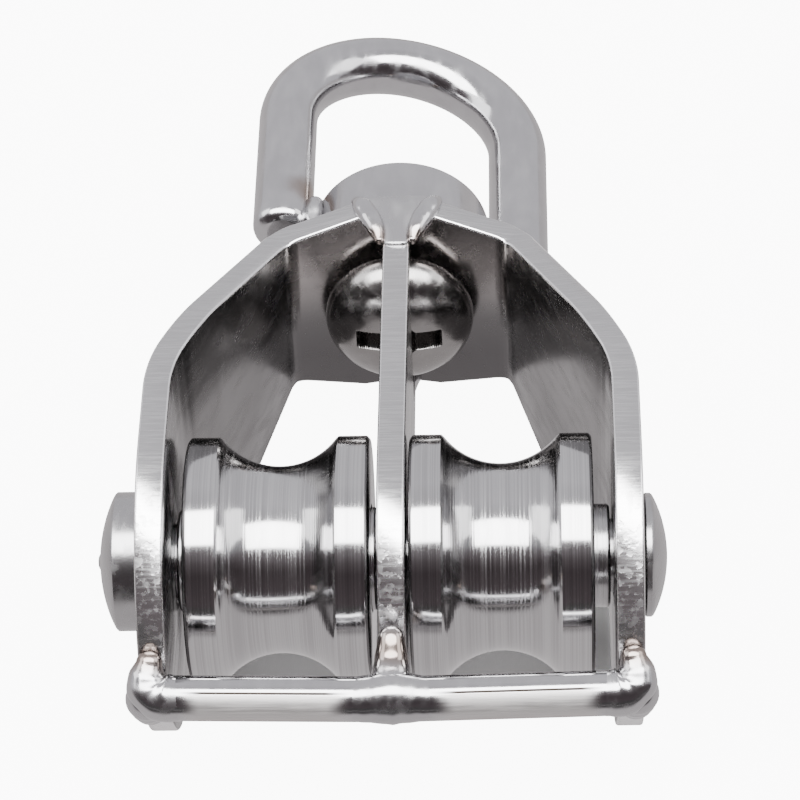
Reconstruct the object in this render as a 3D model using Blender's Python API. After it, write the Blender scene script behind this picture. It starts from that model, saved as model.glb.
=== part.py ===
"""Double sheave block with a swivel eye, lying on its back.

Row frame: +X runs along the axle, +Y from the tie bar to the eye and +Z up,
away from the table that the rear edges of the side plates rest on.
Every outline below is drawn about the middle of the axle, and each node's
own origin is that point, so it lies on both the axle and the swivel axis.
"""

import math

import bmesh
import bpy
import numpy as np

MM = 0.001
GAP = 0.3 * MM

# Rope sheaves
SHEAVE_RADIUS = 12.5 * MM
SHEAVE_WIDTH = 18.4 * MM
SHEAVE_CHAMFER = 0.5 * MM
GROOVE_BOTTOM_RADIUS = 9.5 * MM
GROOVE_ARC_RADIUS = 7.3 * MM
SHEAVE_LEFT_X = -11.5 * MM
SHEAVE_RIGHT_X = 10.9 * MM

# Axle rivet and the sleeves that the sheaves turn on
AXLE_RADIUS = 3.75 * MM
SLEEVE_RADIUS = 5.25 * MM
LEFT_HEAD_RADIUS = 7.1 * MM
LEFT_HEAD_RIM = 3.1 * MM
LEFT_HEAD_HEIGHT = 5.0 * MM
RIGHT_HEAD_RADIUS = 6.3 * MM
RIGHT_HEAD_RIM = 0.95 * MM
RIGHT_HEAD_HEIGHT = 2.45 * MM

# Frame: one bent strap, with half-depths across it
PLATE_THICKNESS = 2.8 * MM
CHAMBER_HALF_WIDTH = 22.1 * MM
ROOF_PEAK_Y = 39.85 * MM
SHOULDER_X = 11.7 * MM
SHOULDER_Y = 37.6 * MM
KNEE_Y = 10.7 * MM
ROOF_BEND_RADIUS = 8.0 * MM
SHOULDER_BEND_RADIUS = 2.5 * MM
KNEE_BEND_RADIUS = 16.0 * MM
END_RADIUS = 17.25 * MM
WAIST_HALF_DEPTH = 10.0 * MM
HUB_HALF_DEPTH = 12.1 * MM
HUB_HALF_WIDTH = 4.2 * MM
FLARE_SLOPE = math.tan(math.radians(18.3))
FLARE_ROUNDING = 5.0 * MM

# Centre plate
CENTRE_END_RADIUS = 13.4 * MM
CENTRE_TOP_HALF_DEPTH = 11.7 * MM
FORK_HALF_DEPTH = 9.0 * MM
FORK_BOTTOM_Y = 31.7 * MM

# Tie bar, bent a little at the middle
BAR_RADIUS = 2.25 * MM
BAR_HALF_LENGTH = 24.9 * MM
BAR_SAG = 0.55 * MM
BAR_LIFT = 0.9 * MM

# Swivel: screw, boss and eye
SCREW_SEAT_Y = 37.6 * MM
SCREW_HEAD_RADIUS = 8.0 * MM
SCREW_HEAD_HEIGHT = 5.0 * MM
SCREW_SHANK_RADIUS = 4.0 * MM
RECESS_LENGTH = 9.0 * MM
RECESS_WIDTH = 2.5 * MM
RECESS_DEPTH = 2.6 * MM
BOSS_RADIUS = 9.7 * MM
BOSS_TOP_Y = 51.8 * MM
BOSS_CHAMFER = 0.8 * MM
SCREW_END_Y = 50.0 * MM
EYE_ROD_RADIUS = 3.3 * MM
EYE_BEND_RADIUS = 13.3 * MM
EYE_BEND_Y = 67.0 * MM
EYE_FOOT_Y = 47.3 * MM
EYE_TURN = math.radians(12.6)

# Weld metal: half-sizes of each bead about its own middle
CORNER_WELD = (3.0 * MM, 3.4 * MM, 4.8 * MM)
CORNER_WELD_X = 23.7 * MM
CORNER_WELD_Y = -18.0 * MM
CENTRE_WELD = (3.9 * MM, 4.4 * MM, 3.4 * MM)
CENTRE_WELD_Y = -17.0 * MM
EYE_WELD = (1.6 * MM, 3.6 * MM, 4.2 * MM)
EYE_WELD_X = 10.0 * MM
EYE_WELD_Y = 50.2 * MM
TOP_WELD_HALF_WIDTH = 4.4 * MM
TOP_WELD_FOOT_HALF_WIDTH = 2.0 * MM
TOP_WELD_FOOT_Y = 33.4 * MM
TOP_WELD_INSIDE = 9.4 * MM
TOP_WELD_OUTSIDE = 12.5 * MM

SEGMENTS = 64
ROD_SEGMENTS = 24

BAR_Y = -math.sqrt((END_RADIUS + GAP + BAR_RADIUS) ** 2 - BAR_LIFT ** 2)
EYE_TOP_Y = EYE_BEND_Y + EYE_BEND_RADIUS + EYE_ROD_RADIUS
BAR_LOWEST_Y = BAR_Y - BAR_SAG - BAR_RADIUS
ROOF_OUTSIDE_Y = ROOF_PEAK_Y + PLATE_THICKNESS

# The middle of the axle in the row frame, whose origin is the bottom centre
AXLE_CENTRE = (
    0.5 * (LEFT_HEAD_HEIGHT - RIGHT_HEAD_HEIGHT),
    -0.5 * (EYE_TOP_Y + BAR_LOWEST_Y),
    END_RADIUS,
)


def remove_everything():
    """Empty the scene."""
    for item in list(bpy.data.objects):
        bpy.data.objects.remove(item, do_unlink=True)


def steel(name, shade, roughness):
    """A plain stainless steel for one group of pieces."""
    material = bpy.data.materials.new(name)
    material.use_nodes = True
    shader = material.node_tree.nodes["Principled BSDF"]
    shader.inputs["Base Color"].default_value = (shade, shade, shade, 1.0)
    shader.inputs["Metallic"].default_value = 1.0
    shader.inputs["Roughness"].default_value = roughness
    return material


def add_node(name, vertices, faces, material):
    """One closed solid, drawn about the middle of the axle."""
    mesh = bpy.data.meshes.new(name)
    mesh.from_pydata([tuple(v) for v in vertices], [], faces)
    shape = bmesh.new()
    shape.from_mesh(mesh)
    bmesh.ops.recalc_face_normals(shape, faces=shape.faces)
    shape.to_mesh(mesh)
    shape.free()
    item = bpy.data.objects.new(name, mesh)
    item.location = AXLE_CENTRE
    bpy.context.scene.collection.objects.link(item)
    if material is not None:
        mesh.materials.append(material)
    return item


def as_cutter(item):
    """Hide a solid that only cuts others."""
    item.hide_render = True
    item.display_type = "WIRE"
    return item


def cut(item, *cutters):
    """Take each cutter away from the solid."""
    for cutter in cutters:
        modifier = item.modifiers.new("cut_" + cutter.name, "BOOLEAN")
        modifier.operation = "DIFFERENCE"
        modifier.solver = "EXACT"
        modifier.object = cutter


def join_rings(rings):
    """Skin rings of equal size into a closed tube with flat ends."""
    size = len(rings[0])
    vertices = [point for ring in rings for point in ring]
    faces = [tuple(range(size))[::-1]]
    for row in range(len(rings) - 1):
        base = row * size
        for i in range(size):
            j = (i + 1) % size
            faces.append((base + i, base + j, base + size + j, base + size + i))
    last = (len(rings) - 1) * size
    faces.append(tuple(range(last, last + size)))
    return vertices, faces


def turned(profile, along, segments=SEGMENTS, closed=False):
    """Turn (place along the axis, radius) points about the X or Y axis."""
    angles = (np.arange(segments) + 0.5) * 2.0 * math.pi / segments
    vertices = []
    rows = []
    for place, radius in profile:
        if radius == 0.0:
            rows.append([len(vertices)] * segments)
            vertices.append((place, 0.0, 0.0))
            continue
        rows.append([len(vertices) + i for i in range(segments)])
        for angle in angles:
            vertices.append((place, radius * math.cos(angle), radius * math.sin(angle)))
    if closed:
        rows.append(rows[0])
    faces = []
    for lower, upper in zip(rows[:-1], rows[1:]):
        for i in range(segments):
            j = (i + 1) % segments
            corners = [lower[i], lower[j], upper[j], upper[i]]
            faces.append(tuple(dict.fromkeys(corners)))
    if along == "Y":
        vertices = [(z, x, y) for x, y, z in vertices]
    return vertices, [face[::-1] for face in faces]


def extruded(outline, low, high, along):
    """Extrude an outline, (Y, Z) pairs along X or (X, Y) pairs along Z."""
    if along == "X":
        rings = [[(x, a, b) for a, b in outline] for x in (low, high)]
    else:
        rings = [[(a, b, z) for a, b in outline] for z in (low, high)]
    return join_rings(rings)


def rod(path, radius, grow=0.0, segments=ROD_SEGMENTS):
    """A round rod along a path of (X, Y) points in the plane Z = 0."""
    points = np.array(path)
    steps = np.diff(points, axis=0)
    steps /= np.linalg.norm(steps, axis=1)[:, None]
    tangents = np.vstack([steps[:1], steps[:-1] + steps[1:], steps[-1:]])
    tangents /= np.linalg.norm(tangents, axis=1)[:, None]
    size = radius + grow
    rings = []
    for (x, y), (tx, ty) in zip(points, tangents):
        ring = []
        for i in range(segments):
            angle = 2.0 * math.pi * i / segments
            side = size * math.cos(angle)
            ring.append((x - ty * side, y + tx * side, size * math.sin(angle)))
        rings.append(ring)
    return join_rings(rings)


def ellipsoid(centre, half_sizes, rows=18, segments=36):
    """A rounded bead of weld metal."""
    turns = np.linspace(0.0, math.pi, rows + 1)
    profile = [(-math.cos(t), abs(math.sin(t))) for t in turns]
    profile[0] = (-1.0, 0.0)
    profile[-1] = (1.0, 0.0)
    vertices, faces = turned(profile, "X", segments)
    scaled = [tuple(c + s * v for c, s, v in zip(centre, half_sizes, point)) for point in vertices]
    return scaled, faces


def filleted(corners, radii, steps=10):
    """Round the inner corners of a polyline with arcs."""
    points = [np.array(corners[0])]
    for before, corner, after, radius in zip(corners, corners[1:], corners[2:], radii):
        corner = np.array(corner)
        back = np.array(before) - corner
        ahead = np.array(after) - corner
        back /= np.linalg.norm(back)
        ahead /= np.linalg.norm(ahead)
        half = 0.5 * math.acos(float(back @ ahead))
        middle = back + ahead
        middle /= np.linalg.norm(middle)
        centre = corner + middle * radius / math.sin(half)
        start = corner + back * radius / math.tan(half) - centre
        end = corner + ahead * radius / math.tan(half) - centre
        swing = math.pi - 2.0 * half
        for i in range(steps + 1):
            share = i / steps
            arm = (math.sin((1.0 - share) * swing) * start + math.sin(share * swing) * end)
            points.append(centre + arm / math.sin(swing))
    points.append(np.array(corners[-1]))
    return np.array(points)


def strap_path():
    """Inside face of the right half of the strap, from the roof's middle down."""
    corners = [
        (-SHOULDER_X, SHOULDER_Y),
        (0.0, ROOF_PEAK_Y),
        (SHOULDER_X, SHOULDER_Y),
        (CHAMBER_HALF_WIDTH, KNEE_Y),
        (CHAMBER_HALF_WIDTH, -END_RADIUS - GAP),
    ]
    radii = (ROOF_BEND_RADIUS, SHOULDER_BEND_RADIUS, KNEE_BEND_RADIUS)
    points = filleted(corners, radii)
    return points[points[:, 0] > -1e-9]


def strap_half_depth(s, shoulder_s, grow):
    """Half the strap's depth at a distance s from the middle of the roof."""
    if s < HUB_HALF_WIDTH:
        return HUB_HALF_DEPTH + grow
    if s < shoulder_s:
        share = (s - HUB_HALF_WIDTH) / (shoulder_s - HUB_HALF_WIDTH)
        return HUB_HALF_DEPTH + share * (WAIST_HALF_DEPTH - HUB_HALF_DEPTH) + grow
    corner_s = shoulder_s + (END_RADIUS - WAIST_HALF_DEPTH) / FLARE_SLOPE
    short_of = corner_s + FLARE_ROUNDING - s
    if short_of > 2.0 * FLARE_ROUNDING:
        return END_RADIUS - FLARE_SLOPE * (corner_s - s) + grow
    return END_RADIUS - FLARE_SLOPE * max(short_of, 0.0) ** 2 / (4.0 * FLARE_ROUNDING) + grow


def strap_solid(grow=0.0):
    """The bent strap, or a copy of it that is larger all round."""
    path = strap_path()
    steps = np.diff(path, axis=0)
    lengths = np.concatenate([[0.0], np.cumsum(np.linalg.norm(steps, axis=1))])
    slopes = np.arctan2(steps[:, 1], steps[:, 0])
    turns = np.concatenate([[0.0], 0.5 * (slopes[1:] + slopes[:-1]), slopes[-1:]])
    straight_end = lengths[-1] + path[-1][1]
    shoulder_s = math.hypot(SHOULDER_X, ROOF_PEAK_Y - SHOULDER_Y)
    knee_s = shoulder_s + math.hypot(CHAMBER_HALF_WIDTH - SHOULDER_X, SHOULDER_Y - KNEE_Y)
    stations = {0.0, HUB_HALF_WIDTH}
    stations.update(s for s in lengths if s < straight_end)
    stations.update(np.linspace(HUB_HALF_WIDTH, shoulder_s, 5)[1:-1])
    stations.update(np.linspace(shoulder_s + 2.0 * MM, knee_s, 28))
    depths = {s: strap_half_depth(s, shoulder_s, grow) for s in stations}
    radius = END_RADIUS + grow
    for angle in np.radians(np.linspace(0.0, 87.0, 24)):
        s = straight_end + radius * math.sin(angle)
        depths[s] = radius * math.cos(angle)
    rings = []
    for s in sorted(depths):
        inside = np.array([np.interp(s, lengths, path[:, 0]), np.interp(s, lengths, path[:, 1])])
        if s > straight_end:
            inside[1] = straight_end - s
        turn = np.interp(s, lengths, turns)
        outward = np.array([-math.sin(turn), math.cos(turn)])
        near = inside - outward * grow
        far = inside + outward * (PLATE_THICKNESS + grow)
        rings.append((near, far, depths[s]))
    right = [ring_of(near, far, depth, 1.0) for near, far, depth in rings]
    left = [ring_of(near, far, depth, -1.0) for near, far, depth in rings[1:]]
    return join_rings(left[::-1] + right)


def ring_of(near, far, depth, side):
    """The four corners of the strap's section on one side of the middle."""
    return [
        (side * near[0], near[1], depth),
        (side * near[0], near[1], -depth),
        (side * far[0], far[1], -depth),
        (side * far[0], far[1], depth),
    ]


def centre_plate_outline(grow=0.0):
    """(Y, Z) outline of the centre plate, round the lower end first."""
    radius = CENTRE_END_RADIUS + grow
    top = ROOF_PEAK_Y - 0.2 * MM - GAP + grow
    outline = []
    for angle in np.radians(np.linspace(90.0, 270.0, 37)):
        outline.append((radius * math.cos(angle), radius * math.sin(angle)))
    outline += [
        (top, -CENTRE_TOP_HALF_DEPTH - grow),
        (top, -FORK_HALF_DEPTH + grow),
        (FORK_BOTTOM_Y + grow, -FORK_HALF_DEPTH + grow),
        (FORK_BOTTOM_Y + grow, FORK_HALF_DEPTH - grow),
        (top, FORK_HALF_DEPTH - grow),
        (top, CENTRE_TOP_HALF_DEPTH + grow),
    ]
    return outline


def centre_plate_solid(grow=0.0):
    """The plate between the two sheaves."""
    half = 0.5 * PLATE_THICKNESS + grow
    return extruded(centre_plate_outline(grow), -half, half, "X")


def bar_path():
    """The tie bar's middle line, lowest at the centre weld."""
    return [
        (-BAR_HALF_LENGTH, BAR_Y),
        (0.0, BAR_Y - BAR_SAG),
        (BAR_HALF_LENGTH, BAR_Y),
    ]


def sheave_profile(centre):
    """Section of a sheave above its bore."""
    half = 0.5 * SHEAVE_WIDTH
    bore = SLEEVE_RADIUS + GAP
    arc_centre = GROOVE_BOTTOM_RADIUS + GROOVE_ARC_RADIUS
    reach = math.acos((arc_centre - SHEAVE_RADIUS) / GROOVE_ARC_RADIUS)
    profile = [
        (centre + half, bore),
        (centre + half, SHEAVE_RADIUS - SHEAVE_CHAMFER),
        (centre + half - SHEAVE_CHAMFER, SHEAVE_RADIUS),
    ]
    for angle in np.linspace(reach, -reach, 17):
        place = centre + GROOVE_ARC_RADIUS * math.sin(angle)
        profile.append((place, arc_centre - GROOVE_ARC_RADIUS * math.cos(angle)))
    profile += [
        (centre - half + SHEAVE_CHAMFER, SHEAVE_RADIUS),
        (centre - half, SHEAVE_RADIUS - SHEAVE_CHAMFER),
        (centre - half, bore),
    ]
    return profile


def head_profile(face, side, radius, rim, height):
    """A rivet head from its rim outwards to the tip."""
    points = [(face, radius - 0.3 * MM), (face + side * 0.3 * MM, radius)]
    for angle in np.radians(np.linspace(0.0, 90.0, 9)):
        place = face + side * (rim + (height - rim) * math.sin(angle))
        points.append((place, radius * math.cos(angle)))
    points[-1] = (face + side * height, 0.0)
    return points


def rivet_profile():
    """The axle with its set head on the left and its closed head on the right."""
    face = CHAMBER_HALF_WIDTH + PLATE_THICKNESS + GAP
    left = head_profile(-face, -1.0, LEFT_HEAD_RADIUS, LEFT_HEAD_RIM, LEFT_HEAD_HEIGHT)
    right = head_profile(face, 1.0, RIGHT_HEAD_RADIUS, RIGHT_HEAD_RIM, RIGHT_HEAD_HEIGHT)
    return left[::-1] + [(-face, AXLE_RADIUS), (face, AXLE_RADIUS)] + right


def sleeve_profile(side):
    """A distance sleeve between the centre plate and one side plate."""
    bore = AXLE_RADIUS + GAP
    inner = side * (0.5 * PLATE_THICKNESS + GAP)
    outer = side * (CHAMBER_HALF_WIDTH - GAP)
    low, high = sorted((inner, outer))
    return [(high, bore), (high, SLEEVE_RADIUS), (low, SLEEVE_RADIUS), (low, bore)]


def screw_profile():
    """Pan head inside the frame and a shank up into the boss."""
    seat = SCREW_SEAT_Y
    low = seat - SCREW_HEAD_HEIGHT
    profile = [(low, 0.0)]
    for angle in np.radians(np.linspace(12.0, 78.0, 7)):
        place = seat - 0.8 * MM - (SCREW_HEAD_HEIGHT - 0.8 * MM) * math.cos(angle)
        profile.append((place, SCREW_HEAD_RADIUS * math.sin(angle) ** 0.8))
    profile += [
        (seat - 0.8 * MM, SCREW_HEAD_RADIUS),
        (seat, SCREW_HEAD_RADIUS - 0.2 * MM),
        (seat, SCREW_SHANK_RADIUS),
        (SCREW_END_Y - 0.6 * MM, SCREW_SHANK_RADIUS),
        (SCREW_END_Y, SCREW_SHANK_RADIUS - 0.6 * MM),
        (SCREW_END_Y, 0.0),
    ]
    return profile


def boss_profile():
    """Round boss that the screw holds, with its blind hole."""
    bottom = ROOF_OUTSIDE_Y + GAP
    hole = SCREW_SHANK_RADIUS + GAP
    return [
        (SCREW_END_Y + GAP, 0.0),
        (SCREW_END_Y + GAP, hole),
        (bottom, hole),
        (bottom, BOSS_RADIUS - 0.4 * MM),
        (bottom + 0.4 * MM, BOSS_RADIUS),
        (BOSS_TOP_Y - BOSS_CHAMFER, BOSS_RADIUS),
        (BOSS_TOP_Y, BOSS_RADIUS - BOSS_CHAMFER),
        (BOSS_TOP_Y, 0.0),
    ]


def eye_path():
    """The eye's rod from the left foot, round the top, to the right foot."""
    points = [(-EYE_BEND_RADIUS, EYE_FOOT_Y)]
    for angle in np.radians(np.linspace(180.0, 90.0, 17)):
        x = EYE_BEND_RADIUS * math.cos(angle)
        points.append((x, EYE_BEND_Y + EYE_BEND_RADIUS * math.sin(angle)))
    points[-1] = (0.0, EYE_BEND_Y + EYE_BEND_RADIUS)
    return points + [(-x, y) for x, y in reversed(points[:-1])]


def swung(shape):
    """A shape turned with the eye about the swivel axis, its left side up."""
    vertices, faces = shape
    c = math.cos(EYE_TURN)
    s = math.sin(EYE_TURN)
    return [(x * c + z * s, y, z * c - x * s) for x, y, z in vertices], faces


def raised(shape):
    """A shape lifted to the height of the tie bar."""
    vertices, faces = shape
    return [(x, y, z + BAR_LIFT) for x, y, z in vertices], faces


def top_weld_outline():
    """(X, Y) outline of the bead where the centre plate meets the roof."""
    top = ROOF_OUTSIDE_Y - 0.5 * MM
    half = [
        (TOP_WELD_HALF_WIDTH, top),
        (TOP_WELD_HALF_WIDTH - 0.5 * MM, SHOULDER_Y),
        (TOP_WELD_FOOT_HALF_WIDTH, TOP_WELD_FOOT_Y + 1.6 * MM),
        (0.7 * TOP_WELD_FOOT_HALF_WIDTH, TOP_WELD_FOOT_Y),
    ]
    return half + [(-x, y) for x, y in reversed(half)]


def build_cutters():
    """Round holes, the screw's recess and grown copies that leave the gaps."""
    hole = AXLE_RADIUS + GAP
    reach = 2.0 * CHAMBER_HALF_WIDTH
    low = [(-reach, 0.0), (-reach, hole), (reach, hole), (reach, 0.0)]
    swivel_hole = SCREW_SHANK_RADIUS + GAP
    up = [(SHOULDER_Y - GAP * 10, 0.0), (SHOULDER_Y - GAP * 10, swivel_hole),
          (BOSS_TOP_Y, swivel_hole), (BOSS_TOP_Y, 0.0)]
    recess_low = SCREW_SEAT_Y - SCREW_HEAD_HEIGHT - 1.0 * MM
    recess_high = SCREW_SEAT_Y - SCREW_HEAD_HEIGHT + RECESS_DEPTH
    arm = 0.5 * RECESS_LENGTH
    thin = 0.5 * RECESS_WIDTH
    cross = [(arm, thin), (thin, thin), (thin, arm), (-thin, arm), (-thin, thin), (-arm, thin),
             (-arm, -thin), (-thin, -thin), (-thin, -arm), (thin, -arm), (thin, -thin), (arm, -thin)]
    recess = join_rings([[(x, y, z) for x, z in reversed(cross)] for y in (recess_low, recess_high)])
    shapes = {
        "axle_hole": turned(low, "X"),
        "swivel_hole": turned(up, "Y"),
        "recess": recess,
        "strap_clearance": strap_solid(GAP),
        "centre_plate_clearance": centre_plate_solid(GAP),
        "bar_clearance": raised(rod(stretched(bar_path()), BAR_RADIUS, GAP)),
        "boss_clearance": turned([(SHOULDER_Y, 0.0), (SHOULDER_Y, BOSS_RADIUS + GAP),
                                  (EYE_BEND_Y, BOSS_RADIUS + GAP), (EYE_BEND_Y, 0.0)], "Y"),
        "eye_clearance": swung(rod(eye_path(), EYE_ROD_RADIUS, GAP)),
    }
    return {name: as_cutter(add_node("cutter_" + name, *shape, None)) for name, shape in shapes.items()}


def stretched(path):
    """The bar's middle line, longer by the gap at both ends."""
    return [(x + math.copysign(GAP, x) if x else x, y) for x, y in path]


def build_frame(cutters, plate_steel, bar_steel):
    """The strap, the centre plate and the tie bar."""
    strap = add_node("frame_strap", *strap_solid(), plate_steel)
    cut(strap, cutters["axle_hole"], cutters["swivel_hole"])
    plate = add_node("centre_plate", *centre_plate_solid(), plate_steel)
    cut(plate, cutters["axle_hole"])
    add_node("tie_bar", *raised(rod(bar_path(), BAR_RADIUS)), bar_steel)


def build_axle(axle_steel, sheave_steel):
    """The rivet, its two sleeves and the two sheaves that turn on them."""
    add_node("axle_rivet", *turned(rivet_profile(), "X"), axle_steel)
    for side, name, centre in ((-1.0, "left", SHEAVE_LEFT_X), (1.0, "right", SHEAVE_RIGHT_X)):
        sleeve = turned(sleeve_profile(side), "X", closed=True)
        add_node("distance_sleeve_" + name, *sleeve, axle_steel)
        sheave = turned(sheave_profile(centre), "X", closed=True)
        add_node("sheave_" + name, *sheave, sheave_steel)


def build_swivel(cutters, screw_steel, eye_steel):
    """The screw, the boss and the eye, which turn together."""
    screw = add_node("swivel_screw", *turned(screw_profile(), "Y"), screw_steel)
    cut(screw, cutters["recess"])
    add_node("eye_boss", *turned(boss_profile(), "Y"), eye_steel)
    add_node("swivel_eye", *swung(rod(eye_path(), EYE_ROD_RADIUS)), eye_steel)


def build_welds(cutters, weld_steel):
    """Every bead, cut clear of the pieces that it joins."""
    for side, name in ((-1.0, "left"), (1.0, "right")):
        corner = ellipsoid((side * CORNER_WELD_X, CORNER_WELD_Y, 0.0), CORNER_WELD)
        bead = add_node("bar_weld_" + name, *corner, weld_steel)
        cut(bead, cutters["strap_clearance"], cutters["bar_clearance"])
        fillet = swung(ellipsoid((side * EYE_WELD_X, EYE_WELD_Y, 0.0), EYE_WELD))
        bead = add_node("eye_weld_" + name, *fillet, weld_steel)
        cut(bead, cutters["boss_clearance"], cutters["eye_clearance"])
    middle = ellipsoid((0.0, CENTRE_WELD_Y, 0.0), CENTRE_WELD)
    bead = add_node("bar_weld_centre", *middle, weld_steel)
    cut(bead, cutters["centre_plate_clearance"], cutters["bar_clearance"])
    outline = top_weld_outline()
    spans = (("top_weld_front", TOP_WELD_INSIDE, TOP_WELD_OUTSIDE),
             ("top_weld_rear", -TOP_WELD_OUTSIDE, -TOP_WELD_INSIDE))
    for name, low, high in spans:
        bead = add_node(name, *extruded(outline, low, high, "Z"), weld_steel)
        cut(bead, cutters["strap_clearance"], cutters["centre_plate_clearance"])


def main():
    """Build the whole block."""
    remove_everything()
    cutters = build_cutters()
    plate_steel = steel("plate_steel", 0.50, 0.38)
    bar_steel = steel("bar_steel", 0.62, 0.22)
    sheave_steel = steel("sheave_steel", 0.60, 0.25)
    axle_steel = steel("axle_steel", 0.58, 0.30)
    screw_steel = steel("screw_steel", 0.52, 0.25)
    eye_steel = steel("eye_steel", 0.60, 0.20)
    weld_steel = steel("weld_steel", 0.58, 0.28)
    build_frame(cutters, plate_steel, bar_steel)
    build_axle(axle_steel, sheave_steel)
    build_swivel(cutters, screw_steel, eye_steel)
    build_welds(cutters, weld_steel)


main()
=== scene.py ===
"""Looks of the double sheave block: bright and drawn stainless steel on a pale table."""

from __future__ import annotations

import logging
import math
from dataclasses import dataclass, field
from enum import Enum

import bmesh
import bpy
import numpy as np
from mathutils import Matrix, Vector


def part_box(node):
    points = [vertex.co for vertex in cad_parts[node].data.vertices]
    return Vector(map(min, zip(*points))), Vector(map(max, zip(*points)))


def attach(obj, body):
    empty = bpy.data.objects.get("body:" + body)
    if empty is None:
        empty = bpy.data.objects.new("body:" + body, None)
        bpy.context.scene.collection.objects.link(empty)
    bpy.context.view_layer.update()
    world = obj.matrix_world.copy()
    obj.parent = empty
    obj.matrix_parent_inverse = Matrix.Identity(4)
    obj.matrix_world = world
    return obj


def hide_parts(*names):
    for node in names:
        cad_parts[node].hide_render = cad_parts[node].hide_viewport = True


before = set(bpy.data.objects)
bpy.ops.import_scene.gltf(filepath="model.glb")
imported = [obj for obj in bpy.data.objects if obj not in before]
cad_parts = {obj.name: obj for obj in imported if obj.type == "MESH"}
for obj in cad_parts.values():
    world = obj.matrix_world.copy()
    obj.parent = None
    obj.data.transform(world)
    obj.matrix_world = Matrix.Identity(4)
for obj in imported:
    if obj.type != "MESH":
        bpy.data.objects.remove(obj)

log = logging.getLogger("sheave_block")

MM = 0.001


class Body(Enum):
    """The rigid bodies that a piece can ride on."""

    FRAME = "frame"
    LEFT_SHEAVE = "left_sheave"
    RIGHT_SHEAVE = "right_sheave"
    SWIVEL = "swivel"


class Slot(Enum):
    """The record's material slots."""

    PLATE = "plate_steel"
    BAR = "bar_steel"
    AXLE = "axle_steel"
    SHEAVE = "sheave_steel"
    SCREW = "screw_steel"
    EYE = "eye_steel"
    WELD = "weld_steel"


# ---------------------------------------------------------------- places from the frame


def box_of(node: str) -> tuple[Vector, Vector]:
    """Lowest and highest corner of a CAD node.

    Args:
        node: the node's name.

    Returns:
        The two corners in the row frame, in metres.
    """
    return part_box(node)


def axle_centre() -> Vector:
    """The middle of the axle, where the swivel axis also passes."""
    low, high = box_of("frame_strap")
    sheave_low, sheave_high = box_of("sheave_left")
    middle = (sheave_low + sheave_high) / 2.0
    return Vector(((low.x + high.x) / 2.0, middle.y, middle.z))


AXLE = axle_centre()


# ---------------------------------------------------------------- meshes


def mesh_piece(name: str, grid: np.ndarray, around: bool = True, looped: bool = False,
               sharp: float = 50.0) -> bpy.types.Object:
    """A closed piece from a grid of points, drawn about the middle of the axle.

    The surface is point(u, v), with u down the rows and v along a row. Rows that shrink to
    one point close the ends.

    Args:
        name: the piece's name.
        grid: rows by columns by three coordinates, in metres.
        around: joins the last column to the first.
        looped: joins the last row to the first.
        sharp: edges turning by more than this many degrees stay crisp.

    Returns:
        The new object, at the origin.
    """
    rows, columns, _ = grid.shape
    index = np.arange(rows * columns).reshape(rows, columns)
    if looped:
        index = np.vstack([index, index[:1]])
    if around:
        index = np.hstack([index, index[:, :1]])
    faces = np.stack([index[:-1, :-1], index[:-1, 1:], index[1:, 1:], index[1:, :-1]], axis=-1)
    points = grid.reshape(-1, 3) + np.array(AXLE)
    mesh = bpy.data.meshes.new(name)
    mesh.from_pydata(points.tolist(), [], faces.reshape(-1, 4).tolist())
    return finished(name, mesh, sharp)


def finished(name: str, mesh: bpy.types.Mesh, sharp: float) -> bpy.types.Object:
    """Merge doubled points, turn the faces outwards and shade the mesh smooth.

    Args:
        name: the piece's name.
        mesh: its mesh.
        sharp: edges turning by more than this many degrees stay crisp.

    Returns:
        The object that shows the mesh.
    """
    shape = bmesh.new()
    shape.from_mesh(mesh)
    bmesh.ops.remove_doubles(shape, verts=shape.verts, dist=1e-6)
    bmesh.ops.dissolve_degenerate(shape, edges=shape.edges, dist=1e-7)
    bmesh.ops.recalc_face_normals(shape, faces=shape.faces)
    shape.to_mesh(mesh)
    shape.free()
    mesh.polygons.foreach_set("use_smooth", np.ones(len(mesh.polygons), dtype=bool))
    mesh.set_sharp_from_angle(angle=math.radians(sharp))
    piece = bpy.data.objects.new(name, mesh)
    bpy.context.scene.collection.objects.link(piece)
    return piece


def softened_copy(name: str, node: str, width: float) -> bpy.types.Object:
    """A copy of a flat CAD node whose edges are broken by a small bevel.

    Args:
        name: the new piece's name.
        node: the CAD node.
        width: how far the bevel reaches from each edge.

    Returns:
        The new object.
    """
    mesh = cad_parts[node].data.copy()
    mesh.name = name
    mesh.materials.clear()
    shape = bmesh.new()
    shape.from_mesh(mesh)
    bmesh.ops.remove_doubles(shape, verts=shape.verts, dist=1e-6)
    bmesh.ops.dissolve_limit(shape, angle_limit=math.radians(0.6), verts=shape.verts, edges=shape.edges)
    shape.to_mesh(mesh)
    shape.free()
    mesh.polygons.foreach_set("use_smooth", np.ones(len(mesh.polygons), dtype=bool))
    piece = bpy.data.objects.new(name, mesh)
    bpy.context.scene.collection.objects.link(piece)
    bevel = piece.modifiers.new("broken_edges", "BEVEL")
    bevel.width = width
    bevel.segments = 3
    bevel.limit_method = "ANGLE"
    bevel.angle_limit = math.radians(40.0)
    bevel.harden_normals = True
    bevel.use_clamp_overlap = False
    return piece


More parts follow.
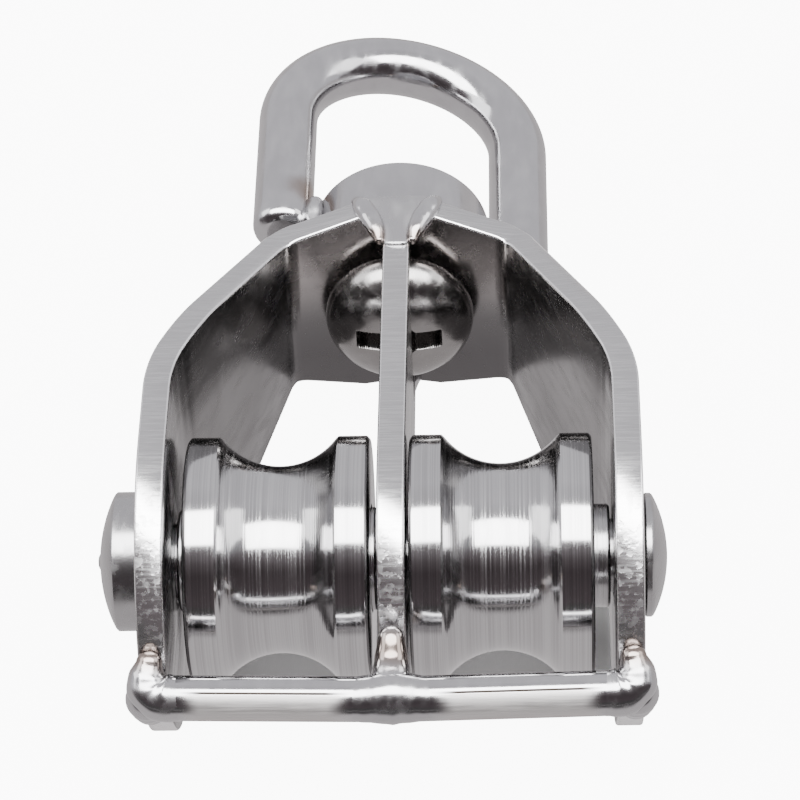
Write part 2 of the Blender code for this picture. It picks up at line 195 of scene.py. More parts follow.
def turned(name: str, profile: np.ndarray, along: str, looped: bool = False, columns: int = 160,
           sharp: float = 35.0) -> bpy.types.Object:
    """A turned piece: each profile point (place, radius) is carried round the axis.

    Args:
        name: the piece's name.
        profile: places along the axis and radii, in metres.
        along: "X" or "Y".
        looped: True for a ring, whose profile is closed.
        columns: how many columns go round.
        sharp: edges turning by more than this many degrees stay crisp.

    Returns:
        The new object.
    """
    angle = np.linspace(0.0, 2.0 * math.pi, columns, endpoint=False)
    place = np.repeat(profile[:, :1], columns, axis=1)
    across = profile[:, 1:] * np.cos(angle)
    up = profile[:, 1:] * np.sin(angle)
    order = (place, across, up) if along == "X" else (across, place, up)
    return mesh_piece(name, np.stack(order, axis=-1), looped=looped, sharp=sharp)


def smooth_path(points: np.ndarray, count: int) -> np.ndarray:
    """A soft curve through points: a cubic with the chord slopes, sampled evenly.

    Args:
        points: rows of numbers, such as coordinates and a radius.
        count: how many samples to return.

    Returns:
        The samples, with as many columns as the points.
    """
    knots = np.arange(len(points), dtype=float)
    slopes = np.gradient(points, axis=0)
    at = np.linspace(0.0, knots[-1], count)
    low = np.minimum(at.astype(int), len(points) - 2)
    t = (at - low)[:, None]
    h00 = 2 * t ** 3 - 3 * t ** 2 + 1
    h10 = t ** 3 - 2 * t ** 2 + t
    h01 = 3 * t ** 2 - 2 * t ** 3
    h11 = t ** 3 - t ** 2
    return h00 * points[low] + h10 * slopes[low] + h01 * points[low + 1] + h11 * slopes[low + 1]


def tube(path: np.ndarray, radii: np.ndarray, columns: int = 48, cap: float = 1.0) -> np.ndarray:
    """Points of a round tube: path(u) + radius(u) (side cos v + up sin v).

    Args:
        path: rows of coordinates along the middle line.
        radii: the radius at each row.
        columns: how many columns go round.
        cap: share of the radius that the ends are rounded by; 1 makes full domes.

    Returns:
        The grid of points.
    """
    tangent = np.gradient(path, axis=0)
    tangent /= np.linalg.norm(tangent, axis=1)[:, None]
    hint = np.array([0.0, 0.0, 1.0]) if abs(tangent[0, 2]) < 0.9 else np.array([1.0, 0.0, 0.0])
    side = np.cross(tangent, hint)
    side /= np.linalg.norm(side, axis=1)[:, None]
    up = np.cross(side, tangent)
    turn = np.linspace(0.0, math.pi / 2.0, 9)
    first, last = radii[0] * cap, radii[-1] * cap
    start = path[0] - tangent[0] * first * np.cos(turn)[:, None]
    end = path[-1] + tangent[-1] * last * np.cos(turn[::-1])[:, None]
    path = np.vstack([start[:1], start, path[1:-1], end, end[-1:]])
    start_radii = radii[0] - first * (1.0 - np.sin(turn))
    end_radii = radii[-1] - last * (1.0 - np.sin(turn[::-1]))
    radii = np.concatenate([[0.0], start_radii, radii[1:-1], end_radii, [0.0]])
    side = np.vstack([np.repeat(side[:1], 10, axis=0), side[1:-1], np.repeat(side[-1:], 10, axis=0)])
    up = np.vstack([np.repeat(up[:1], 10, axis=0), up[1:-1], np.repeat(up[-1:], 10, axis=0)])
    angle = np.linspace(0.0, 2.0 * math.pi, columns, endpoint=False)
    ring = side[:, None, :] * np.cos(angle)[None, :, None] + up[:, None, :] * np.sin(angle)[None, :, None]
    return path[:, None, :] + radii[:, None, None] * ring


# ---------------------------------------------------------------- shader maths


@dataclass(frozen=True)
class Signal:
    """A value inside a material, on which ordinary arithmetic adds Math nodes."""

    tree: "NodeMaker"
    socket: object

    def _math(self, operation: str, *others: object) -> "Signal":
        """One Math node on this value and others."""
        return self.tree.math(operation, self, *others)

    def __add__(self, other: object) -> "Signal":
        """Sum."""
        return self._math("ADD", other)

    __radd__ = __add__

    def __mul__(self, other: object) -> "Signal":
        """Product."""
        return self._math("MULTIPLY", other)

    __rmul__ = __mul__

    def __sub__(self, other: object) -> "Signal":
        """Difference."""
        return self._math("SUBTRACT", other)

    def __rsub__(self, other: object) -> "Signal":
        """Difference from a number."""
        return self.tree.math("SUBTRACT", other, self)

    def __truediv__(self, other: object) -> "Signal":
        """Quotient."""
        return self._math("DIVIDE", other)

    def __abs__(self) -> "Signal":
        """Size without sign."""
        return self._math("ABSOLUTE")

    def __pow__(self, other: object) -> "Signal":
        """Power."""
        return self._math("POWER", other)

    def above(self, low: float, high: float) -> "Signal":
        """0 below low, 1 above high and a smooth step between.

        Args:
            low: where the step starts.
            high: where it ends; below low for a falling step.

        Returns:
            The mask.
        """
        settings = {"interpolation_type": "SMOOTHSTEP"}
        inputs = {"Value": self, "From Min": low, "From Max": high}
        node = self.tree.node("ShaderNodeMapRange", settings, inputs)
        return Signal(self.tree, node.outputs["Result"])

    def at_least(self, other: object) -> "Signal":
        """The larger of two values."""
        return self._math("MAXIMUM", other)


class NodeMaker:
    """A node tree with short calls for the nodes that every tree here needs."""

    def __init__(self, tree: bpy.types.NodeTree) -> None:
        """Empty a node tree and take it over.

        Args:
            tree: a material's or the world's tree.
        """
        self.tree = tree
        self.tree.nodes.clear()
        self.coordinates = self.tree.nodes.new("ShaderNodeTexCoord")

    def node(self, kind: str, settings: dict[str, object], inputs: dict[object, object]) -> bpy.types.Node:
        """Add any node.

        Args:
            kind: its type.
            settings: attributes, set first.
            inputs: values, links or signals, by socket name or number.

        Returns:
            The node.
        """
        made = self.tree.nodes.new(kind)
        for key, value in settings.items():
            setattr(made, key, value)
        for key, value in inputs.items():
            self.feed(made.inputs[key], value)
        return made

    def feed(self, socket: bpy.types.NodeSocket, value: object) -> None:
        """Link a signal or socket, or set a plain value."""
        if isinstance(value, Signal):
            value = value.socket
        if isinstance(value, bpy.types.NodeSocket):
            self.tree.links.new(value, socket)
        else:
            socket.default_value = value

    def math(self, operation: str, *values: object) -> Signal:
        """One Math node."""
        made = self.node("ShaderNodeMath", {"operation": operation}, dict(enumerate(values)))
        return Signal(self, made.outputs[0])

    def rays(self, kind: str) -> Signal:
        """1 for one kind of ray, such as "Is Camera Ray", and 0 for the others."""
        return Signal(self, self.node("ShaderNodeLightPath", {}, {}).outputs[kind])

    def ramp(self, share: Signal, stops: list[tuple[float, tuple]]) -> bpy.types.NodeSocket:
        """A run of colours.

        Args:
            share: where on the run, from 0 to 1.
            stops: places on the run and their colours.

        Returns:
            The colour's socket.
        """
        made = self.node("ShaderNodeValToRGB", {}, {0: share})
        elements = made.color_ramp.elements
        while len(elements) < len(stops):
            elements.new(0.5)
        for element, (place, colour) in zip(elements, stops):
            element.position = place
            element.color = colour
        return made.outputs[0]

    def mix(self, share: object, first: bpy.types.Node, second: bpy.types.Node) -> bpy.types.Node:
        """A mix of two shaders, with the second one's share."""
        return self.node("ShaderNodeMixShader", {}, {0: share, 1: first.outputs[0], 2: second.outputs[0]})


class ShaderTree(NodeMaker):
    """One material's nodes, with short calls for the ones that metal needs."""

    def __init__(self, name: str) -> None:
        """Start an empty material.

        Args:
            name: the material's name.
        """
        self.material = bpy.data.materials.new(name)
        self.material.use_nodes = True
        super().__init__(self.material.node_tree)
        self.output = self.tree.nodes.new("ShaderNodeOutputMaterial")

    def place(self) -> tuple[Signal, Signal, Signal]:
        """Distance from the middle of the axle along X, Y and Z, in millimetres."""
        centre = self.node("ShaderNodeVectorMath", {"operation": "SUBTRACT"},
                           {0: self.coordinates.outputs["Object"], 1: tuple(AXLE)})
        parts = self.node("ShaderNodeSeparateXYZ", {}, {0: centre.outputs[0]})
        return tuple(Signal(self, parts.outputs[i]) * 1000.0 for i in range(3))

    def facing(self) -> tuple[Signal, Signal, Signal]:
        """The surface's own normal, part by part."""
        parts = self.node("ShaderNodeSeparateXYZ", {}, {0: self.coordinates.outputs["Normal"]})
        return tuple(Signal(self, parts.outputs[i]) for i in range(3))

    def noise(self, per_metre: tuple[float, float, float], detail: float = 3.0,
              distortion: float = 0.0) -> Signal:
        """Cloudy noise, drawn out along the axes with a low figure.

        Args:
            per_metre: how many cells fit in a metre along X, Y and Z.
            detail: octaves.
            distortion: how far it is warped.

        Returns:
            Values round 0.5.
        """
        scaled = self.node("ShaderNodeVectorMath", {"operation": "MULTIPLY"},
                           {0: self.coordinates.outputs["Object"], 1: per_metre})
        made = self.node("ShaderNodeTexNoise", {}, {"Vector": scaled.outputs[0], "Scale": 1.0,
                                                    "Detail": detail, "Distortion": distortion})
        return Signal(self, made.outputs[0])

    def tint(self, mask: object, plain: object, stained: object) -> bpy.types.NodeSocket:
        """Mix two colours by a mask."""
        made = self.node("ShaderNodeMix", {"data_type": "RGBA"}, {0: mask, 6: plain, 7: stained})
        return made.outputs[2]

    def bump(self, height: Signal, depth: float) -> bpy.types.NodeSocket:
        """A bump whose full height is depth, in metres."""
        made = self.node("ShaderNodeBump", {}, {"Height": height, "Distance": depth, "Strength": 1.0})
        return made.outputs["Normal"]

    def metal(self, colour: object, roughness: object, normal: object = None,
              anisotropic: float = 0.0) -> bpy.types.Material:
        """Close the tree with a metal shader.

        Args:
            colour: the base colour or its link.
            roughness: a number or signal.
            normal: a bump's output.
            anisotropic: how far highlights are drawn out.

        Returns:
            The finished material.
        """
        inputs = {"Base Color": colour, "Metallic": 1.0, "Roughness": roughness, "Anisotropic": anisotropic}
        if normal is not None:
            inputs["Normal"] = normal
        shader = self.node("ShaderNodeBsdfPrincipled", {}, inputs)
        self.tree.links.new(shader.outputs[0], self.output.inputs["Surface"])
        return self.material


# ---------------------------------------------------------------- finishes


@dataclass(frozen=True)
class DrawnPlate:
    """Drawn strip: dark, softly streaked faces, with belt-ground or sheared edges; the inner faces carry
    painted shade, the underside of the roof painted light and the broken edges a painted highlight line.
    """

    face: tuple = (0.36, 0.355, 0.355, 1.0)
    face_dark: tuple = (0.27, 0.265, 0.265, 1.0)
    # Inner face colours are darker than the outer ones: painted shade.
    painted_shade_inner: tuple = (0.24, 0.235, 0.235, 1.0)
    painted_shade_inner_dark: tuple = (0.21, 0.205, 0.205, 1.0)
    painted_shade_inner_low: tuple = (0.125, 0.120, 0.122, 1.0)
    roof_painted_light: tuple = (0.46, 0.43, 0.42, 1.0)
    painted_edge_highlight: tuple = (0.92, 0.915, 0.92, 1.0)
    edge: tuple = (0.56, 0.555, 0.56, 1.0)
    edge_dull: tuple = (0.50, 0.495, 0.50, 1.0)
    sheared: tuple = (0.20, 0.18, 0.17, 1.0)
    face_roughness: float = 0.20
    edge_roughness: float = 0.22
    sheared_below: float = -4.0

    def material(self) -> bpy.types.Material:
        """The strip's material."""
        tree = ShaderTree("drawn_plate")
        x, y, z = tree.place()
        nx, ny, nz = tree.facing()
        past_knee = y.above(6.0, 2.0)
        on_edge = abs(nz).at_least((1.0 - abs(nx)) * past_knee).above(0.45, 0.75)
        streaks = tree.noise((700.0, 60.0, 700.0), 4.0)
        clouds = tree.noise((90.0, 40.0, 90.0), 2.0)
        grain = tree.noise((3200.0, 3200.0, 3200.0), 4.0)
        scratches = tree.noise((260.0, 5200.0, 900.0), 3.0)
        pits = tree.noise((1500.0, 900.0, 1500.0), 5.0)
        torn = pits.above(0.50, 0.62) * y.above(self.sheared_below, self.sheared_below - 6.0)
        cloudy = (streaks * 0.5 + clouds * 0.5).above(0.30, 0.70)
        # Faces turned inwards, between the plates and under the roof, take the darker inner colours: painted
        # shade.
        inside = (x * nx * -1.0).above(0.5, 2.0).at_least((ny * -1.0).above(0.5, 0.8))
        painted_shade_inner = tree.tint(cloudy, self.painted_shade_inner_dark, self.painted_shade_inner)
        # Inner faces grow darker towards the rear (-Z): painted shade.
        painted_shade_inner = tree.tint(z.above(6.0, -7.0), painted_shade_inner, self.painted_shade_inner_low)
        # Inner faces turned down under the roof, towards the front, take a paler brownish colour: painted
        # light.
        painted_shade_inner = tree.tint((ny * -1.0).above(0.5, 0.8) * z.above(-2.0, 8.0), painted_shade_inner, self.roof_painted_light)
        face = tree.tint(inside, tree.tint(cloudy, self.face_dark, self.face), painted_shade_inner)
        # A near-white line on the broken edge, between the front edge and the faces: a painted highlight.
        painted_edge_highlight = abs(nz).above(0.25, 0.40) * abs(nz).above(0.95, 0.86)
        ground = tree.tint(scratches.above(0.35, 0.65), self.edge_dull, self.edge)
        edge = tree.tint(torn * 0.7, ground, self.sheared)
        colour = tree.tint(painted_edge_highlight, tree.tint(on_edge, face, edge), self.painted_edge_highlight)
        face_rough = self.face_roughness + 0.10 * streaks.above(0.35, 0.7)
        edge_rough = self.edge_roughness + 0.10 * torn + 0.08 * scratches.above(0.4, 0.7)
        roughness = face_rough + on_edge * (edge_rough - face_rough)
        height = (streaks * 0.12 + grain * 0.05) * (1.0 - on_edge)
        height = height + on_edge * (scratches * 0.12 + grain * 0.04 - torn * 0.30)
        return tree.metal(colour, roughness, tree.bump(height, 0.00004))


@dataclass(frozen=True)
class TurnedSteel:
    """Bright turned steel with fine rings round the axle."""

    bright: tuple = (0.55, 0.545, 0.55, 1.0)
    dull: tuple = (0.43, 0.425, 0.43, 1.0)
    roughness: float = 0.09
    rings_per_metre: float = 5200.0
    land_radius: float = 12.45
    name: str = "turned_steel"

    def material(self) -> bpy.types.Material:
        """The sheaves' material."""
        tree = ShaderTree(self.name)
        rings = tree.noise((self.rings_per_metre, 6.0, 6.0), 3.0)
        broad = tree.noise((1100.0, 12.0, 12.0), 2.0)
        smudge = tree.noise((220.0, 220.0, 220.0), 3.0)
        colour = tree.tint((rings * 0.6 + broad * 0.4).above(0.35, 0.65), self.dull, self.bright)
        _, y, z = tree.place()
        groove = ((y * y + z * z) ** 0.5).above(self.land_radius, self.land_radius - 0.2)
        roughness = self.roughness + (0.04 + 0.10 * groove) * rings.above(0.44, 0.66) + 0.04 * smudge
        height = (rings * 0.8 + broad * 0.4) * (0.25 + 0.75 * groove)
        return tree.metal(colour, roughness, tree.bump(height, 0.000016))


@dataclass(frozen=True)
class PolishedSteel:
    """Polished steel with faint marks, and brown heat stains at stated places."""

    name: str
    bright: tuple = (0.53, 0.525, 0.535, 1.0)
    dull: tuple = (0.47, 0.465, 0.475, 1.0)
    stain: tuple = (0.25, 0.19, 0.155, 1.0)
    roughness: float = 0.13
    wear: float = 0.14
    lumps: float = 0.0
    # Colours of the bar's pale band and dark line, both painted reflections of the table.
    satin_roughness_and_painted_reflection: float = 0.0
    painted_reflection_pale: tuple = (0.72, 0.70, 0.69, 1.0)
    painted_reflection_dark_line: tuple = (0.012, 0.009, 0.008, 1.0)
    stains: tuple = ()

    def material(self) -> bpy.types.Material:
        """The polished material."""
        tree = ShaderTree(self.name)
        x, y, z = tree.place()
        marks = tree.noise((700.0, 260.0, 700.0), 4.0)
        clouds = tree.noise((160.0, 160.0, 160.0), 3.0)
        lumps = tree.noise((420.0, 420.0, 420.0), 2.0)
        colour = tree.tint((marks * 0.5 + clouds * 0.5).above(0.30, 0.70), self.dull, self.bright)
        mask = None
        for sx, sy, sz, reach in self.stains:
            away = ((abs(x) - sx) ** 2.0 + (y - sy) ** 2.0 + (z - sz) ** 2.0) ** 0.5
            here = (away + 2.0 * clouds).above(reach + 1.6, reach - 0.4)
            mask = here if mask is None else mask.at_least(here)
        if mask is not None:
            colour = tree.tint(mask * 0.85, colour, self.stain)
        roughness = self.roughness + self.wear * marks.above(0.42, 0.7)
        # On the bar between the welds, faces turned towards the table get a pale colour, a painted reflection
        # of the table, and more roughness; a near-black line just above them is a painted dark reflection
        # line.
        if self.satin_roughness_and_painted_reflection:
            _, ny, nz = tree.facing()
            scratches = tree.noise((150.0, 4200.0, 4200.0), 3.0)
            height_round = ny * 0.68 + nz * 0.73
            between = abs(x).above(3.4, 6.5) * abs(x).above(21.2, 18.5)
            front = height_round.above(0.26, 0.20) * between
            line = height_round.above(0.37, 0.33) * height_round.above(0.22, 0.26) * between
            colour = tree.tint(line, colour, self.painted_reflection_dark_line)
            roughness = roughness + front * (self.satin_roughness_and_painted_reflection + 0.1 * scratches.above(0.4, 0.6))
            colour = tree.tint(front, colour, self.painted_reflection_pale)
        height = marks * 0.3 + lumps * self.lumps
        return tree.metal(colour, roughness, tree.bump(height, 0.00003))


# ---------------------------------------------------------------- sub-assemblies


def place_piece(piece: bpy.types.Object, body: Body, slot: Slot, material: bpy.types.Material,
                *nodes: str) -> bpy.types.Object:
    """Dress a piece, let it ride and hide the CAD nodes that it replaces.

    Args:
        piece: the piece.
        body: what it rides on.
        slot: not used.
        material: its material.
        nodes: the CAD nodes that it replaces.

    Returns:
        The piece.
    """
    piece.data.materials.clear()
    piece.data.materials.append(material)
    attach(piece, body.value)
    if nodes:
        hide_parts(*nodes)
    log.info("%s rides on %s", piece.name, body.value)
    return piece


@dataclass
class Sheaves:
    """The two turned sheaves."""

    radius: float = 12.5 * MM
    groove_bottom: float = 9.5 * MM
    groove_arc: float = 7.3 * MM
    chamfer: float = 0.32 * MM
    bore: float = 5.55 * MM
    edge: float = 0.08 * MM
    finish: TurnedSteel = field(default_factory=TurnedSteel)

    def profile(self, low: float, high: float) -> np.ndarray:
        """Closed section (place, radius): bore, side, chamfer, land, groove and back.

        Args:
            low: place of the left side.
            high: place of the right side.

        Returns:
            The section's points.
        """
        centre = 0.5 * (low + high)
        lift = self.groove_bottom + self.groove_arc
        reach = math.acos((lift - self.radius) / self.groove_arc)
        turn = np.linspace(-reach, reach, 49)
        groove = np.stack([centre + self.groove_arc * np.sin(turn), lift - self.groove_arc * np.cos(turn)], 1)
        e = self.edge
        rim_low = [(low, self.bore), (low, self.radius - self.chamfer - e),
                   (low + e * 0.4, self.radius - self.chamfer),
                   (low + self.chamfer - e * 0.4, self.radius - e * 0.4),
                   (low + self.chamfer + e, self.radius), (groove[0, 0] - e, self.radius)]
        rim_high = [(2 * centre - place, radius) for place, radius in reversed(rim_low)]
        return np.vstack([np.array(rim_low), groove[1:-1], np.array(rim_high)])

    def build(self) -> None:
        """Make both sheaves."""
        material = self.finish.material()
        for name, body in (("sheave_left", Body.LEFT_SHEAVE), ("sheave_right", Body.RIGHT_SHEAVE)):
            low, high = box_of(name)
            profile = self.profile(low.x - AXLE.x, high.x - AXLE.x)
            piece = turned(name + "_turned", profile, "X", looped=True, columns=192)
            place_piece(piece, body, Slot.SHEAVE, material, name)


@dataclass
class Axle:
    """The rivet and the distance sleeves."""

    shank: float = 3.75 * MM
    sleeve: float = 5.25 * MM
    sleeve_bore: float = 4.05 * MM
    left_radius: float = 7.1 * MM
    left_rim: float = 3.1 * MM
    nub: float = 0.9 * MM
    right_radius: float = 6.3 * MM
    right_rim: float = 0.95 * MM

    def head(self, face: float, tip: float, radius: float, rim: float, nub: float) -> np.ndarray:
        """A head's section: a rounded rim, then a dome height(r) falling with the square of r.

        Args:
            face: place of the face against the plate.
            tip: place of the outermost point.
            radius: the head's radius.
            rim: the rim's thickness.
            nub: radius of the small flat left at the tip, or 0.

        Returns:
            The section from the face outwards.
        """
        side = math.copysign(1.0, tip - face)
        height = abs(tip - face)
        share = np.linspace(1.0, 0.0, 28)
        dome = rim + (height - rim - (0.25 * MM if nub else 0.0)) * (1.0 - share ** 2.0) ** 0.92
        peak = np.where(share * radius < nub, 0.25 * MM * (1.0 - (share * radius / max(nub, 1e-9)) ** 4), 0.0)
        points = np.stack([face + side * (dome + peak), share * radius * 0.975], 1)
        rim_points = np.array([(face, radius - 0.35 * MM), (face + side * 0.25 * MM, radius),
                               (face + side * (rim - 0.2 * MM), radius)])
        return np.vstack([rim_points, points])

    def build(self) -> None:
        """Make the rivet and both sleeves."""
        low, high = box_of("axle_rivet")
        strap_low, strap_high = box_of("frame_strap")
        gap = 0.3 * MM
        left_face = strap_low.x - AXLE.x - gap
        right_face = strap_high.x - AXLE.x + gap
        left = self.head(left_face, low.x - AXLE.x, self.left_radius, self.left_rim, self.nub)
        right = self.head(right_face, high.x - AXLE.x, self.right_radius, self.right_rim, 0.0)
        shank = np.array([(left[0, 0], self.shank), (right[0, 0], self.shank)])
        profile = np.vstack([left[::-1], shank, right])
        piece = turned("axle_rivet_set", profile, "X")
        material = PolishedSteel("rivet_steel", bright=(0.45, 0.445, 0.45, 1.0),
                                 dull=(0.38, 0.375, 0.38, 1.0), roughness=0.22).material()
        place_piece(piece, Body.FRAME, Slot.AXLE, material, "axle_rivet")
        sleeve_steel = TurnedSteel(name="sleeve_steel", roughness=0.2).material()
        for name in ("distance_sleeve_left", "distance_sleeve_right"):
            low, high = box_of(name)
            ends = (low.x - AXLE.x, high.x - AXLE.x)
            e = 0.25 * MM
            section = np.array([(ends[0], self.sleeve_bore), (ends[0], self.sleeve - e),
                                (ends[0] + e, self.sleeve), (ends[1] - e, self.sleeve),
                                (ends[1], self.sleeve - e), (ends[1], self.sleeve_bore)])
            piece = turned(name + "_turned", section, "X", looped=True, columns=96)
            place_piece(piece, Body.FRAME, Slot.AXLE, sleeve_steel, name)


@dataclass
class Frame:
    """The bent strap, the centre plate and the tie bar."""

    broken_edge: float = 0.32 * MM
    bar_radius: float = 2.25 * MM

    def bar_line(self, count: int = 61) -> np.ndarray:
        """The bar's middle line: y falls by the sag towards the middle, softly.

        Args:
            count: how many points.

        Returns:
            The points.
        """
        low, high = box_of("tie_bar")
        reach = (high.x - low.x) / 2.0 - 0.9 * self.bar_radius
        sag = high.y - low.y - 2.0 * self.bar_radius
        x = np.linspace(-reach, reach, count)
        away = np.sqrt((x / reach) ** 2 + 0.004) / math.sqrt(1.004)
        y = high.y - AXLE.y - self.bar_radius - sag * (1.0 - away)
        return np.stack([x, y, np.full(count, (low.z + high.z) / 2.0 - AXLE.z)], 1)

    def build(self) -> None:
        """Make the three pieces."""
        plate = DrawnPlate().material()
        for node in ("frame_strap", "centre_plate"):
            piece = softened_copy(node + "_ground", node, self.broken_edge)
            place_piece(piece, Body.FRAME, Slot.PLATE, plate, node)
        line = self.bar_line()
        piece = mesh_piece("tie_bar_round", tube(line, np.full(len(line), self.bar_radius), cap=0.9))
        material = PolishedSteel("bar_polish", roughness=0.11, wear=0.03, satin_roughness_and_painted_reflection=0.42).material()
        place_piece(piece, Body.FRAME, Slot.BAR, material, "tie_bar")


@dataclass
class Swivel:
    """The screw, the boss and the eye."""

    head_radius: float = 8.0 * MM
    head_height: float = 5.0 * MM
    shank: float = 4.0 * MM
    recess: float = 9.0 * MM
    recess_width: float = 2.3 * MM
    recess_middle: float = 2.9 * MM
    recess_depth: float = 2.6 * MM
    boss_radius: float = 9.7 * MM
    rod: float = 3.3 * MM

    def screw_grid(self) -> np.ndarray:
        """The screw: a dome with a cross pressed in, then its seat and shank.

        The dome stands h (1 - share^2.6)^0.6 high at each share of the radius, and the cross
        takes its depth away where the smaller of |x| and |z| is within half the arm's width, or
        where |x| + |z| is within the middle's reach.
        """
        columns = 360
        low, high = box_of("swivel_screw")
        seat = low.y - AXLE.y + self.head_height
        end = high.y - AXLE.y
        angle = np.linspace(0.0, 2.0 * math.pi, columns, endpoint=False)
        share = np.concatenate([np.linspace(0.0, 0.62, 110), np.linspace(0.63, 1.0, 28)])[:, None]
        radius = self.head_radius * share * np.ones(columns)
        x = radius * np.cos(angle)
        z = radius * np.sin(angle)
        height = 0.9 * MM + (self.head_height - 0.9 * MM) * (1.0 - share ** 2.6) ** 0.6 * np.ones(columns)
        near = np.minimum(np.abs(x), np.abs(z))
        far = np.maximum(np.abs(x), np.abs(z))
        soft = 0.22 * MM
        arm = self.recess_width / 2.0 * (1.0 - 0.12 * far / self.recess)
        inside = np.clip((arm - near) / soft + 0.5, 0, 1)
        inside = inside * np.clip((self.recess / 2.0 - far) / soft + 0.5, 0, 1)
        inside = np.maximum(inside, np.clip((self.recess_middle - near - far) / soft + 0.5, 0, 1))
        inside = inside * inside * (3.0 - 2.0 * inside)
        y = seat - height + inside * self.recess_depth
        dome = np.stack([x, y, z], -1)
        profile = np.array([(seat - 0.2 * MM, self.head_radius), (seat, self.head_radius - 0.2 * MM),
                            (seat, self.shank), (end, self.shank), (end, 0.0)])
        place = np.repeat(profile[:, :1], columns, axis=1)
        rest = np.stack([profile[:, 1:] * np.cos(angle), place, profile[:, 1:] * np.sin(angle)], -1)
        return np.concatenate([dome, rest])

    def swung(self, points: np.ndarray) -> np.ndarray:
        """Points turned with the eye about the swivel axis.

        Args:
            points: rows of coordinates with the eye lying in the X-Y plane.

        Returns:
            The turned points.
        """
        low, high = box_of("swivel_eye")
        turn = math.atan2((high.z - low.z) / 2.0 - self.rod, (high.x - low.x) / 2.0 - self.rod)
        c, s = math.cos(turn), math.sin(turn)
        x, y, z = points[..., 0], points[..., 1], points[..., 2]
        return np.stack([x * c + z * s, y, z * c - x * s], -1)

    def eye_line(self) -> np.ndarray:
        """The eye's middle line: a straight leg, a half circle and the other leg."""
        low, high = box_of("swivel_eye")
        bend = math.hypot((high.z - low.z) / 2.0 - self.rod, (high.x - low.x) / 2.0 - self.rod)
        bend_y = high.y - AXLE.y - self.rod - bend
        foot = low.y - AXLE.y + 0.5 * self.rod
        half = np.radians(np.linspace(180.0, 0.0, 81))
        leg = np.stack([np.full(14, -bend), np.linspace(foot, bend_y, 15)[:-1], np.zeros(14)], 1)
        top = np.stack([bend * np.cos(half), bend_y + bend * np.sin(half), 0.0 * half], 1)
        return np.vstack([leg, top, leg[::-1] * np.array([-1.0, 1.0, 1.0])])

    def fillet(self, side: float) -> np.ndarray:
        """A weld: up the front of the seam beside a leg, over the boss's top and down the back.

        Args:
            side: -1 for the left leg, 1 for the right.

        Returns:
            The bead's grid of points.
        """
        knots = np.array([(10.1, 46.6, 2.1, 0.55), (10.2, 48.2, 2.3, 0.85), (10.2, 49.8, 2.4, 0.95),
                          (10.1, 50.9, 1.9, 1.0), (10.0, 51.4, 0.7, 1.0), (10.0, 51.4, -0.7, 1.0),
                          (10.1, 50.9, -1.9, 1.0), (10.2, 49.8, -2.4, 0.95), (10.2, 48.2, -2.3, 0.85),
                          (10.1, 46.6, -2.1, 0.55)]) * MM
        samples = smooth_path(knots, 72)
        wave = 1.0 + 0.06 * np.sin(np.linspace(0.0, 44.0, len(samples)))
        grid = tube(samples[:, :3], samples[:, 3] * wave, columns=28)
        return self.swung(grid * np.array([side, 1.0, 1.0]))

    def build(self) -> None:
        """Make the screw, the boss, the eye and its two welds."""
        screw = mesh_piece("swivel_screw_pressed", self.screw_grid(), sharp=60.0)
        finish = PolishedSteel("screw_polish", bright=(0.32, 0.31, 0.305, 1.0), dull=(0.25, 0.24, 0.235, 1.0),
                               roughness=0.17)
        place_piece(screw, Body.SWIVEL, Slot.SCREW, finish.material(), "swivel_screw")
        low, high = box_of("eye_boss")
        bottom = low.y - AXLE.y
        top = high.y - AXLE.y
        hole = self.shank + 0.3 * MM
        turn = np.radians(np.linspace(0.0, 90.0, 8))
        corner = 0.8 * MM
        rounded = np.stack([top - corner + corner * np.sin(turn),
                            self.boss_radius - corner + corner * np.cos(turn)], 1)
        end = box_of("swivel_screw")[1].y - AXLE.y + 0.3 * MM
        lead = np.array([(end, 0.0), (end, hole), (bottom, hole),
                         (bottom, self.boss_radius - 0.4 * MM), (bottom + 0.4 * MM, self.boss_radius)])
        boss = turned("eye_boss_turned", np.vstack([lead, rounded, [(top, 0.0)]]), "Y")
        finish = PolishedSteel("eye_polish", roughness=0.13, stains=((10.6, 52.0, 3.4, 2.9),))
        eye_steel = finish.material()
        place_piece(boss, Body.SWIVEL, Slot.EYE, eye_steel, "eye_boss")
        line = self.eye_line()
        rod = tube(line, np.full(len(line), self.rod), columns=72, cap=0.5)
        eye = mesh_piece("swivel_eye_bent", self.swung(rod))
        place_piece(eye, Body.SWIVEL, Slot.EYE, eye_steel, "swivel_eye")
        finish = PolishedSteel("eye_weld_metal", roughness=0.26, lumps=0.7, stains=((9.9, 51.6, 1.6, 2.6),))
        weld = finish.material()
        for side, name in ((-1.0, "eye_weld_left"), (1.0, "eye_weld_right")):
            bead = mesh_piece(name + "_bead", self.fillet(side))
            place_piece(bead, Body.SWIVEL, Slot.WELD, weld, name)


